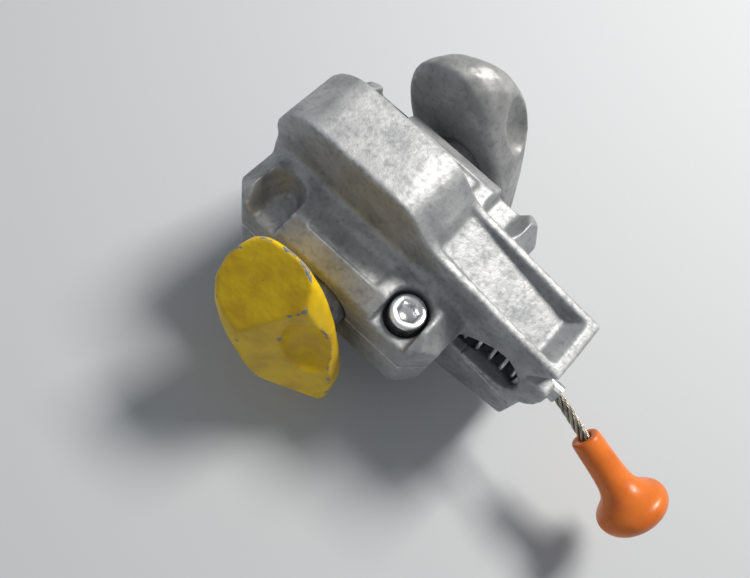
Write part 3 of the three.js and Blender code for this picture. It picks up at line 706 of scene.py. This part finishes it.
def seam_weight(points: np.ndarray) -> np.ndarray:
    """Rounding weight of the housing: small beside the seam, so that it stays a thin line."""
    past = points[:, 0] / MM - STEP_AT_MM
    z = (points[:, 2] - SHAFT_HEIGHT) / MM
    seam = np.where(past < 0, 0.0, -STEP_DROP_MM - STEP_FALL * past)
    return np.clip(np.abs(z - seam) / SEAM_SOFT_MM, 0.12, 1.0)


@dataclass
class Housing:
    """The two cast halves that hold the shaft and the spring."""

    voxel_mm: float = 0.7
    rounds: int = 8

    def build(self) -> None:
        """Builds both halves."""
        for half in ("upper", "lower"):
            CastPiece(
                f"{half}_housing", f"{half}_housing_casting", "housing", CASTING, self.voxel_mm,
                self.rounds, keep_sharp=seam_weight, fillet=inner_corner_weight,
            ).build()


@dataclass
class Cones:
    """The yellow and the grey cone."""

    voxel_mm: float = 0.7
    rounds: int = 7
    lump_mm: float = 0.22

    def build(self) -> None:
        """Builds both cones."""
        for node, name, finish in (
            ("lower_cone", "lower_cone_painted", YELLOW_PAINT),
            ("upper_cone", "upper_cone_bare", CONE_FORGING),
        ):
            CastPiece(node, name, "shaft", finish, self.voxel_mm, self.rounds, self.lump_mm).build()


# ---- spring, wire and knob --------------------------------------------------------------------


@dataclass
class PullWire:
    """Wire rope of six strands, each of six wires laid round a core."""

    diameter_mm: float = 5.0
    lay_mm: float = 26.0
    strand_lay_mm: float = 11.0
    strands: int = 6
    wires: int = 6
    route: list[tuple[float, float, float]] = field(default_factory=lambda: [
        (24.0, -2.0, 0.0), (40.0, -2.0, 0.0), (60.0, -2.0, 0.0), (80.0, -2.0, 0.0), (96.0, -2.0, 0.0),
        (103.0, -2.6, -0.3), (110.0, -3.7, -1.0), (119.0, -5.6, -2.6), (128.0, -7.4, -4.6),
        (137.58, -8.75, -7.12), (149.08, -10.37, -10.14),
    ])

    def centreline(self, step_mm: float = 0.8) -> list[Vector]:
        """Evenly spaced points along the wire's middle.

        Args:
            step_mm: Distance between points.

        Returns:
            The points, in metres.
        """
        knots = [Vector(p) * MM + Vector((0, 0, SHAFT_HEIGHT)) for p in self.route]
        fine: list[Vector] = []
        for i in range(len(knots) - 1):
            before = knots[max(i - 1, 0)]
            after = knots[min(i + 2, len(knots) - 1)]
            for j in range(40):
                t = j / 40
                fine.append(self.between(before, knots[i], knots[i + 1], after, t))
        fine.append(knots[-1])
        spaced = [fine[0]]
        for p in fine[1:]:
            if (p - spaced[-1]).length >= step_mm * MM:
                spaced.append(p)
        spaced.append(fine[-1])
        return spaced

    @staticmethod
    def between(before: Vector, start: Vector, end: Vector, after: Vector, t: float) -> Vector:
        """Point on a smooth curve from start to end."""
        m0 = (end - before) * 0.5
        m1 = (after - start) * 0.5
        return (
            start * (2 * t**3 - 3 * t**2 + 1) + m0 * (t**3 - 2 * t**2 + t)
            + end * (-2 * t**3 + 3 * t**2) + m1 * (t**3 - t**2)
        )

    def build(self) -> bpy.types.Object:
        """Returns:
            The rope.
        """
        line = self.centreline()
        wire_r = self.diameter_mm / 19.5
        strand_r = self.diameter_mm / 2 - 3 * wire_r
        points: list[Vector] = []
        faces: list[tuple[int, ...]] = []
        for strand in range(self.strands):
            for wire in range(self.wires):
                self.lay_wire(line, strand, wire, strand_r, wire_r, points, faces)
        wires = len(faces)
        tube(line, strand_r - 3 * wire_r, 8, points, faces)
        rope = mesh_piece("pull_wire_rope", points, faces)
        ROPE_STEEL.put_on(rope)
        rope.data.materials.append(ROPE_CORE.material())
        for face in rope.data.polygons[wires:]:
            face.material_index = 1
        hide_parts("pull_wire")
        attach(rope, "pull")
        return rope

    def lay_wire(
        self, line: list[Vector], strand: int, wire: int, strand_r: float, wire_r: float,
        points: list[Vector], faces: list[tuple[int, ...]],
    ) -> None:
        """Adds one thin wire to the mesh.

        Args:
            line: The rope's middle.
            strand: Number of the strand it belongs to.
            wire: Its number in the strand.
            strand_r: Distance of the strand's middle from the rope's, in mm.
            wire_r: The wire's own radius, in mm.
            points: The mesh's points so far.
            faces: The mesh's faces so far.
        """
        track = []
        along = 0.0
        side = Vector((0, 0, 1))
        for i, p in enumerate(line):
            ahead = line[min(i + 1, len(line) - 1)] - line[max(i - 1, 0)]
            ahead.normalize()
            side = (side - ahead * side.dot(ahead)).normalized()
            other = ahead.cross(side)
            turn = 2 * math.pi * (along / self.lay_mm + strand / self.strands)
            out = side * math.cos(turn) + other * math.sin(turn)
            round_strand = ahead.cross(out)
            spin = 2 * math.pi * (wire / self.wires - along / self.strand_lay_mm)
            reach = out * math.cos(spin) + round_strand * math.sin(spin)
            track.append(p + (out * strand_r + reach * 2 * wire_r) * MM)
            if i + 1 < len(line):
                along += (line[i + 1] - p).length / MM
        tube(track, wire_r, 5, points, faces)


def tube(
    track: list[Vector], radius_mm: float, sides: int, points: list[Vector], faces: list[tuple[int, ...]]
) -> None:
    """Adds a round tube with closed ends along a track.

    Args:
        track: Points along the tube's middle, in metres.
        radius_mm: The tube's radius.
        sides: Sides of its section.
        points: The mesh's points so far.
        faces: The mesh's faces so far.
    """
    first = len(points)
    side = (track[1] - track[0]).orthogonal().normalized()
    for i, p in enumerate(track):
        ahead = (track[min(i + 1, len(track) - 1)] - track[max(i - 1, 0)]).normalized()
        side = (side - ahead * side.dot(ahead)).normalized()
        other = ahead.cross(side)
        for k in range(sides):
            angle = 2 * math.pi * k / sides
            points.append(p + (side * math.cos(angle) + other * math.sin(angle)) * radius_mm * MM)
    for i in range(len(track) - 1):
        for k in range(sides):
            low = first + i * sides
            faces.append((low + k, low + (k + 1) % sides, low + sides + (k + 1) % sides, low + sides + k))
    last = first + (len(track) - 1) * sides
    faces.append(tuple(first + k for k in reversed(range(sides))))
    faces.append(tuple(last + k for k in range(sides)))


@dataclass
class ReturnSpring:
    """Compression spring with closed ends, which the pulled wire squeezes; it is wound here at rest."""

    mean_mm: float = 8.9
    wire_mm: float = 2.4
    turns: float = 6.5
    axis_y_mm: float = -2.0
    squeezed: float = 0.43

    def build(self) -> bpy.types.Object:
        """Winds the spring between its cup and its seat.

        Returns:
            The spring.
        """
        low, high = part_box("return_spring")
        start = low.x / MM + self.wire_mm / 2
        length = (high.x - low.x) / MM - self.wire_mm
        track = []
        steps = int(self.turns * 40)
        for i in range(steps + 1):
            t = i / steps
            angle = 2 * math.pi * self.turns * t
            eased = t - 0.055 * math.sin(2 * math.pi * t) / (2 * math.pi) * 2
            track.append(Vector((
                start + length * eased,
                self.axis_y_mm + self.mean_mm * math.cos(angle),
                SHAFT_HEIGHT / MM + self.mean_mm * math.sin(angle),
            )) * MM)
        points: list[Vector] = []
        faces: list[tuple[int, ...]] = []
        tube(track, self.wire_mm / 2, 12, points, faces)
        spring = mesh_piece("wound_return_spring", points, faces)
        SPRING_STEEL.put_on(spring)
        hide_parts("return_spring")
        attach(spring, "housing")
        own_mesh(spring)
        return spring


@dataclass
class PullKnob:
    """Mushroom knob moulded on the wire's end."""

    length_mm: float = 48.0
    shank_mm: float = 6.9
    head_mm: float = 17.0
    start: Vector = field(default_factory=lambda: Vector((128, -7.4, -4.6 + 58)) * MM)
    aim: Vector = field(default_factory=lambda: Vector((0.958, -0.135, -0.252)).normalized())

    def build(self) -> bpy.types.Object:
        """Turns the knob and dresses it.

        Returns:
            The knob.
        """
        long, shank, head = self.length_mm, self.shank_mm, self.head_mm
        profile = [
            (0, 24), (4.3, 24), (4.3, 12.3), (3.0, 12), (3.0, 0.6), (3.4, 0.1),
            (shank - 1.3, 0.0), (shank - 0.5, 0.25), (shank, 0.9),
            (shank + 0.15, long * 0.2), (shank + 0.5, long * 0.42), (shank + 1.2, long * 0.54),
            (shank + 2.6, long * 0.61), (shank + 5.2, long * 0.67), (head - 2.6, long * 0.71),
            (head - 0.7, long * 0.745), (head, long * 0.79), (head - 0.25, long * 0.84),
            (head - 1.6, long * 0.895), (head - 4.6, long * 0.945), (head - 8.5, long * 0.975),
            (head - 11, long * 0.985), (head - 12.2, long * 0.975), (0, long * 0.97),
        ]
        knob = turned_profile("orange_pull_knob", profile, self.start, self.aim, 72)
        settle_subdivision(knob, 1)
        ORANGE_PLASTIC.put_on(knob)
        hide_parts("pull_knob")
        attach(knob, "pull")
        return knob


def settle_subdivision(piece: bpy.types.Object, levels: int) -> None:
    """Subdivides a piece smoothly and bakes the result."""
    skin = piece.modifiers.new("smooth_skin", "SUBSURF")
    skin.levels = levels
    skin.render_levels = levels
    settle(piece)


# ---- fasteners and inner pieces ---------------------------------------------------------------


@dataclass
class CapScrews:
    """The hexagon socket cap screws, with knurled heads."""

    head_mm: float = 8.0
    high_mm: float = 10.0
    across_mm: float = 8.0
    knurls: int = 48

    def build(self) -> None:
        """Builds both screws where the CAD has them."""
        for number in (1, 2):
            self.screw(f"cap_screw_{number}")

    def screw(self, node: str) -> bpy.types.Object:
        """Builds one screw.

        Args:
            node: The CAD node it stands for.

        Returns:
            The screw.
        """
        low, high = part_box(node)
        x, y = (low.x + high.x) / 2, (low.y + high.y) / 2
        top = high.z
        sides = self.knurls * 2
        work = bmesh.new()
        rows: list[list[bmesh.types.BMVert]] = []

        def ring(radius: float, height: float, knurl: float = 0.0, hexagon: bool = False) -> None:
            """Adds a ring of points at a height below the head's top, in mm."""
            made = []
            for i in range(sides):
                angle = 2 * math.pi * i / sides
                reach = radius - (knurl if i % 2 else 0)
                if hexagon:
                    part = (angle + math.pi / 6) % (math.pi / 3) - math.pi / 6
                    reach = self.across_mm / 2 / math.cos(part)
                made.append(work.verts.new((
                    x + reach * MM * math.cos(angle), y + reach * MM * math.sin(angle), top - height * MM
                )))
            rows.append(made)

        head = self.head_mm
        ring(3.0, 6.2)
        ring(0, 5.4, hexagon=True)
        ring(0, 0.5, hexagon=True)
        ring(5.2, 0.0)
        ring(head - 1.0, 0.0)
        ring(head - 0.35, 0.25)
        ring(head, 0.9)
        ring(head, 1.6)
        ring(head, 2.0, 0.28)
        ring(head, self.high_mm - 0.6, 0.28)
        ring(head - 0.5, self.high_mm)
        ring(5.4, self.high_mm)
        ring(5.0, self.high_mm + 0.5)
        shank_end = (top - low.z) / MM
        ring(5.0, shank_end - 0.8)
        ring(4.2, shank_end)
        for a, b in zip(rows, rows[1:]):
            for i in range(sides):
                j = (i + 1) % sides
                work.faces.new((a[i], a[j], b[j], b[i]))
        work.faces.new(rows[0])
        work.faces.new(list(reversed(rows[-1])))
        bmesh.ops.recalc_face_normals(work, faces=work.faces)
        mesh = bpy.data.meshes.new(f"{node}_knurled")
        work.to_mesh(mesh)
        work.free()
        mesh.polygons.foreach_set("use_smooth", [True] * len(mesh.polygons))
        screw = bpy.data.objects.new(f"{node}_knurled", mesh)
        bpy.context.scene.collection.objects.link(screw)
        soften_edges(screw, 0.12, 40)
        BRIGHT_ZINC.put_on(screw)
        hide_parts(node)
        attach(screw, "housing")
        return screw


@dataclass
class InnerPieces:
    """Shaft, lever, link and the other steel pieces, which keep their CAD form."""

    steel: tuple[str, ...] = (
        "lock_shaft", "lower_cone_pin", "upper_cone_pin", "shaft_lever", "lever_key", "link_pin",
        "pull_link", "spring_cup", "spring_seat", "lock_washer_1", "lock_washer_2", "dowel_pin_1",
        "dowel_pin_2",
    )
    alloy: tuple[str, ...] = ("inner_ferrule", "stop_ferrule", "knob_ferrule")

    def build(self) -> None:
        """Dresses the carried-over CAD nodes."""
        for node in self.steel:
            BARE_STEEL.put_on_node(node)
        for node in self.alloy:
            FERRULE_ALLOY.put_on_node(node)


# ---- studio -----------------------------------------------------------------------------------


@dataclass
class Studio:
    """Pale floor, soft lamps, pale surroundings and the camera."""

    azimuth: float = 16.3
    elevation: float = 66.85
    roll: float = 27.3
    distance_mm: float = 308.0
    aim_mm: tuple[float, float, float] = (15.9, -24.4, 58.0)
    lens_mm: float = 33.2
    floor_tone: str = "#cfd4d9"
    room_tone: str = "#eef1f4"

    def camera(self) -> bpy.types.Object:
        """Sets up the camera above the object, rolled about its own line of sight.

        Returns:
            The camera.
        """
        data = bpy.data.cameras.new("viewing_camera")
        data.lens = self.lens_mm
        data.sensor_width = 36
        data.clip_start = 0.01
        camera = bpy.data.objects.new("viewing_camera", data)
        bpy.context.scene.collection.objects.link(camera)
        a, e = math.radians(self.azimuth), math.radians(self.elevation)
        away = Vector((math.sin(a) * math.cos(e), -math.cos(a) * math.cos(e), math.sin(e)))
        place = Vector(self.aim_mm) * MM + away * self.distance_mm * MM
        turn = away.to_track_quat("Z", "Y").to_matrix().to_4x4()
        roll = Matrix.Rotation(math.radians(self.roll), 4, "Z")
        camera.matrix_world = Matrix.Translation(place) @ turn @ roll
        bpy.context.scene.camera = camera
        return camera

    def lamp(
        self, name: str, place: tuple[float, float, float], size: float, watts: float, tone: str
    ) -> None:
        """Adds a soft square lamp that faces the object.

        Args:
            name: Its name.
            place: Where it hangs, in metres.
            size: Its side, in metres.
            watts: Its power.
            tone: Its colour as a hex code.
        """
        data = bpy.data.lights.new(name, "AREA")
        data.shape = "SQUARE"
        data.size = size
        data.energy = watts
        data.color = linear(tone)[:3]
        lamp = bpy.data.objects.new(name, data)
        bpy.context.scene.collection.objects.link(lamp)
        lamp.location = place
        aim = Vector((0.03, 0, 0.05)) - Vector(place)
        lamp.rotation_euler = aim.to_track_quat("-Z", "Y").to_euler()

    def floor(self) -> None:
        """Lays the floor, pale to the eye and to reflections."""
        half = 4.0
        plane = mesh_piece(
            "studio_floor",
            [(-half, -half, 0), (half, -half, 0), (half, half, 0), (-half, half, 0)],
            [(0, 1, 2, 3)],
            smooth=False,
        )
        tone = bpy.data.materials.new("pale_floor")
        tone.use_nodes = True
        tree = tone.node_tree
        tree.nodes.clear()
        shader = add_node(tree, "ShaderNodeBsdfDiffuse", {"Color": linear(self.floor_tone)})
        add_node(tree, "ShaderNodeOutputMaterial", {"Surface": shader.outputs[0]})
        plane.data.materials.append(tone)

    def room(self) -> None:
        """Fills the surroundings: pale to the camera and to reflections, dimmer as a light."""
        world = bpy.data.worlds.new("pale_room")
        bpy.context.scene.world = world
        world.use_nodes = True
        tree = world.node_tree
        tree.nodes.clear()
        path = add_node(tree, "ShaderNodeLightPath")
        seen = add_node(
            tree, "ShaderNodeMath",
            {0: path.outputs["Is Camera Ray"], 1: path.outputs["Is Transmission Ray"]}, operation="MAXIMUM",
        )
        shiny = add_node(
            tree, "ShaderNodeMath",
            {0: path.outputs["Is Glossy Ray"], 1: 0.2, 2: 0.24}, operation="MULTIPLY_ADD",
        )
        strength = add_node(
            tree, "ShaderNodeMath", {0: seen.outputs[0], 1: shiny.outputs[0]}, operation="MAXIMUM"
        )
        glow = add_node(
            tree, "ShaderNodeBackground",
            {"Color": linear(self.room_tone), "Strength": strength.outputs[0]},
        )
        add_node(tree, "ShaderNodeOutputWorld", {"Surface": glow.outputs[0]})

    def build(self) -> None:
        """Sets up the whole studio."""
        bpy.context.scene.view_settings.view_transform = "Standard"
        self.lamp("key_lamp", (0.16, 0.66, 0.98), 0.34, 14, "#fffaf2")
        self.lamp("fill_lamp", (-0.7, -0.8, 0.9), 1.0, 0.9, "#dfeaff")
        self.floor()
        self.room()


# ---- making -----------------------------------------------------------------------------------


def main() -> None:
    """Builds the studio, then each sub-assembly in order."""
    logging.basicConfig(level=logging.INFO)
    studio = Studio()
    studio.camera()
    wire = PullWire()
    rope = wire.build()
    knob = PullKnob().build()
    studio.build()
    for part in (Housing(), Cones(), ReturnSpring(), CapScrews(), InnerPieces()):
        part.build()
        LOG.info("%s built", type(part).__name__)


if __name__ == "__main__":
    main()
